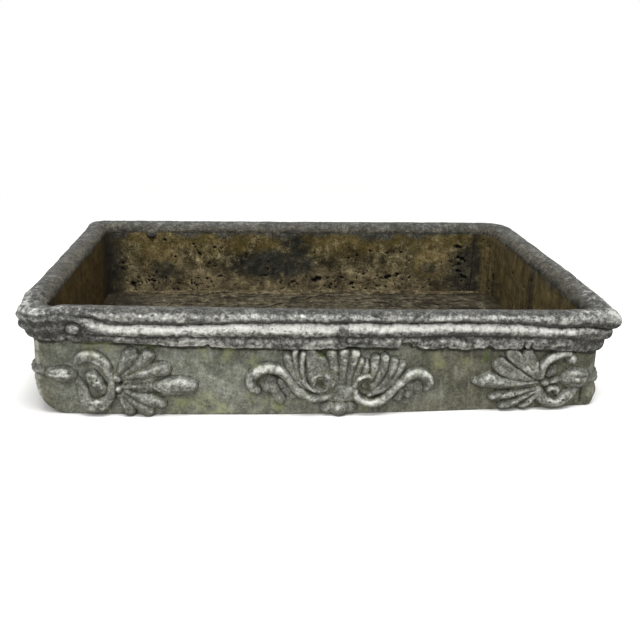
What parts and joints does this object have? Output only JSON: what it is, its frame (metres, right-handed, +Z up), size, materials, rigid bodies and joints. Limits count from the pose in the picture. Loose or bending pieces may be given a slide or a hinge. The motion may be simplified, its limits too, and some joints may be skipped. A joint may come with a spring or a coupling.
{
  "type": "garden planter",
  "caption": "Shallow rectangular trough planter of weathered cast stone with a moulded rim and applied palmette, scroll and fan ornaments.",
  "frame": {"origin": "on the ground under the middle of the planter's outer box", "axes": "+X along the length towards the planter's right-hand end as seen from the front, +Y towards the back, +Z up"},
  "size_m": [0.5158, 0.3318, 0.1023],
  "materials": {
    "wall_stone": "weathered cast stone, grey green, lichen stained, matt",
    "base_stone": "cast stone stained brown by soil and water, matt",
    "rim_stone": "weathered cast stone, worn pale on the mouldings, dark in the grooves",
    "joint_mortar": "lumpy grey mortar",
    "ornament_stone": "cast stone relief, rubbed pale on the high parts",
    "plug_mortar": "stained mortar"
  },
  "bodies": {
    "root": {"base_slab": "base_stone", "front_wall": "wall_stone", "back_wall": "wall_stone", "left_wall": "wall_stone", "right_wall": "wall_stone", "seam_front_left": "joint_mortar", "seam_front_right": "joint_mortar", "seam_back_left": "joint_mortar", "seam_back_right": "joint_mortar", "rim_corner_front_left": "rim_stone", "rim_corner_front_right": "rim_stone", "rim_corner_back_left": "rim_stone", "rim_corner_back_right": "rim_stone", "rim_front_left": "rim_stone", "rim_front_right": "rim_stone", "rim_back_left": "rim_stone", "rim_back_right": "rim_stone", "rim_left": "rim_stone", "rim_right": "rim_stone", "rim_joint_front": "joint_mortar", "rim_joint_back": "joint_mortar", "palmette_front_a": "ornament_stone", "palmette_front_b": "ornament_stone", "palmette_back_a": "ornament_stone", "palmette_back_b": "ornament_stone", "palmette_left_a": "ornament_stone", "palmette_left_b": "ornament_stone", "palmette_right_a": "ornament_stone", "palmette_right_b": "ornament_stone", "crest_front": "ornament_stone", "crest_back": "ornament_stone", "husk_front_left": "ornament_stone", "husk_front_right": "ornament_stone", "husk_back_left": "ornament_stone", "husk_back_right": "ornament_stone", "wall_stud": "plug_mortar"}
  },
  "joints": []
}
